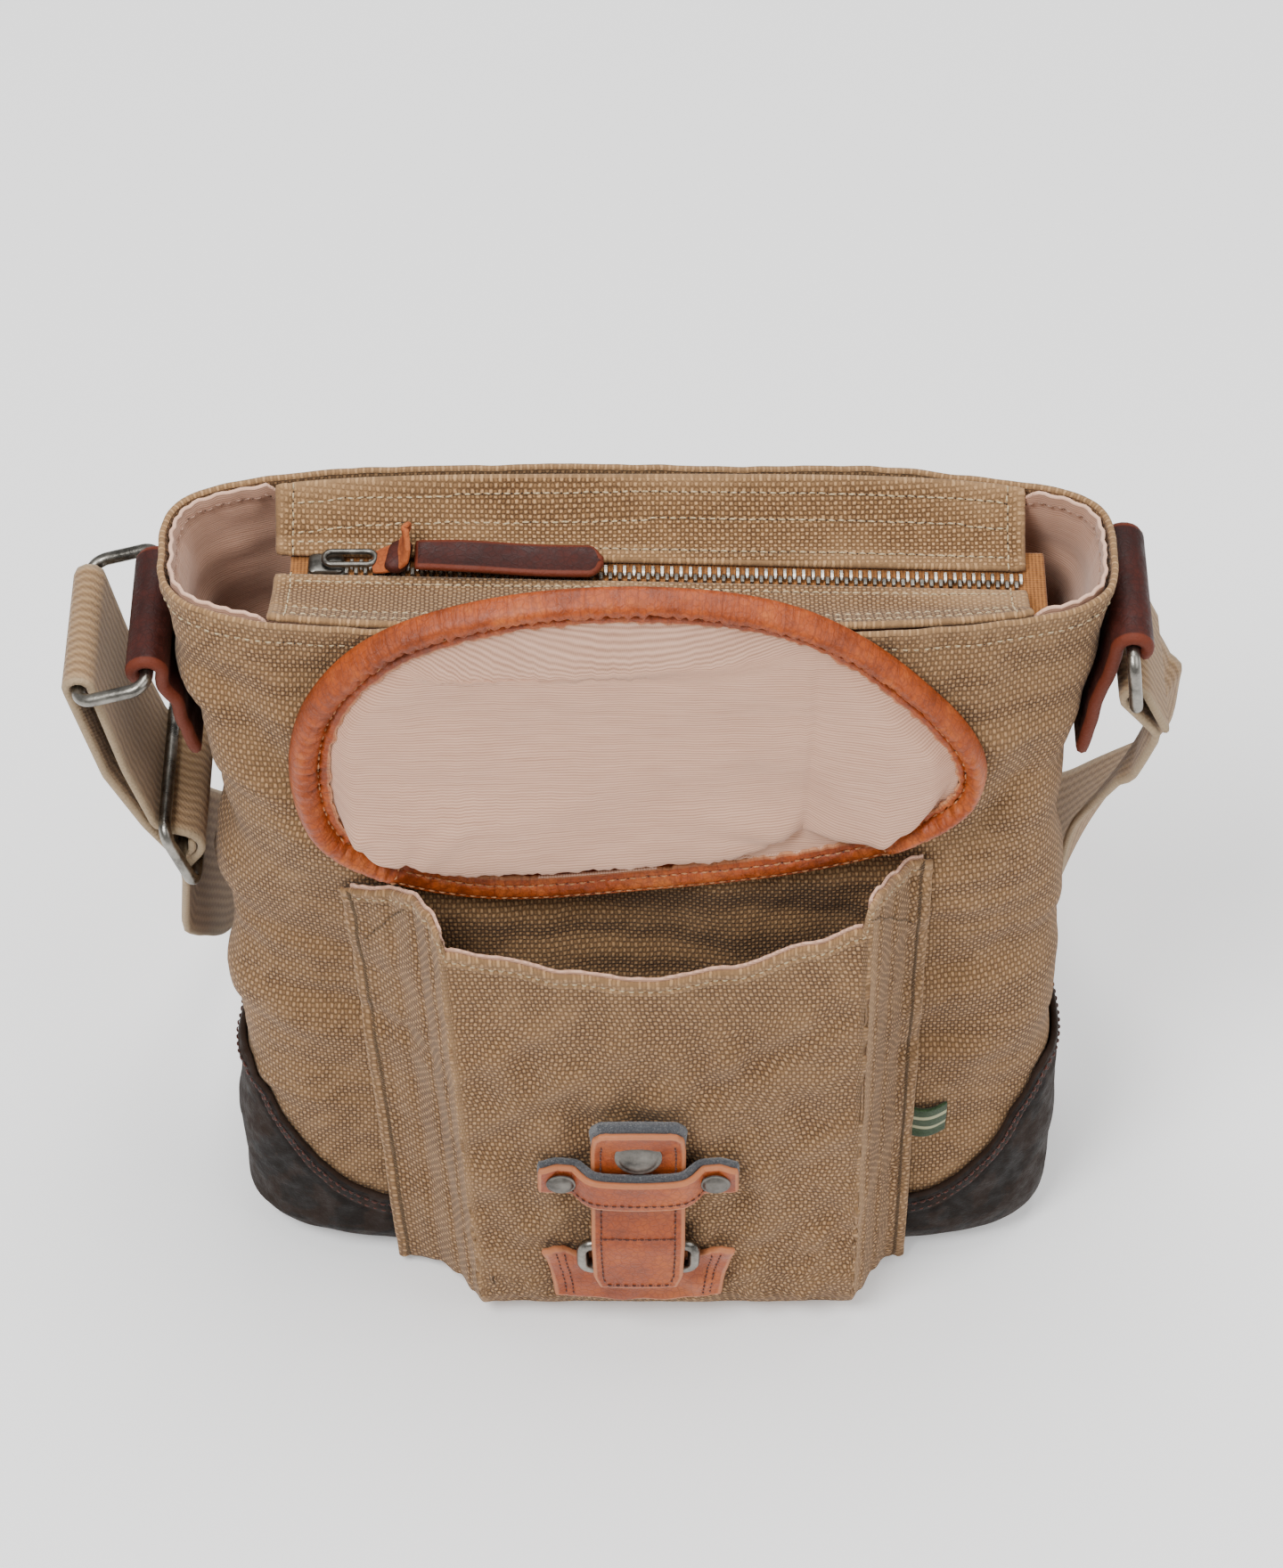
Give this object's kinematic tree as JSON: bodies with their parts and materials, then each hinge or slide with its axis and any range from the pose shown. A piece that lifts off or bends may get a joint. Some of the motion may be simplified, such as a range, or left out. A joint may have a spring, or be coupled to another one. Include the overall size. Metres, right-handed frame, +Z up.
{
  "type": "crossbody bag",
  "caption": "Upright canvas and leather crossbody bag with a recessed zip, folded-up pocket flap, leather clasp and webbing shoulder strap.",
  "frame": {"origin": "middle of the leather base, on the surface the bag stands on", "axes": "+X to the right and -Y towards the viewer seen from the pocket side, +Z up"},
  "size_m": [0.3403, 0.3377, 0.3183],
  "materials": {
    "canvas": "washed heavy cotton canvas, worn on its folds",
    "lining": "plain woven cotton",
    "tan_leather": "soft cognac leather, slightly glossy",
    "burgundy_leather": "smooth oiled leather with raw edges",
    "dark_leather": "dark waxed leather with rubbed edges",
    "felt": "grey felt backing",
    "webbing": "ribbed cotton webbing",
    "zip_tape": "woven zip tape",
    "metal": "antique nickel",
    "label": "woven satin label"
  },
  "bodies": {
    "root": {"canvas_body": "canvas", "leather_base": "dark_leather", "body_lining": "lining", "flange_rear": "canvas", "flange_front": "canvas", "zip_tape": "zip_tape", "zip_teeth": "metal", "zip_slider": "metal", "zip_puller": "metal", "pull_strap": "burgundy_leather", "pull_knot": "burgundy_leather", "front_pocket": "canvas", "flap_leather": "tan_leather", "flap_lining": "lining", "clasp_patch": "tan_leather", "clasp_ring": "metal", "clasp_tab": "tan_leather", "clasp_tab_backing": "felt", "clasp_keeper": "tan_leather", "clasp_keeper_backing": "felt", "woven_label": "label", "strap_adjuster": "metal", "strap_webbing": "webbing", "clasp_patch_rivet_left": "metal", "clasp_patch_rivet_right": "metal", "keeper_rivet_left": "metal", "keeper_rivet_right": "metal", "side_tab_left": "burgundy_leather", "side_tab_right": "burgundy_leather", "tab_rivet_left": "metal", "tab_rivet_right": "metal", "side_ring_left": "metal", "side_ring_right": "metal", "clasp_snap": "metal"}
  },
  "joints": []
}
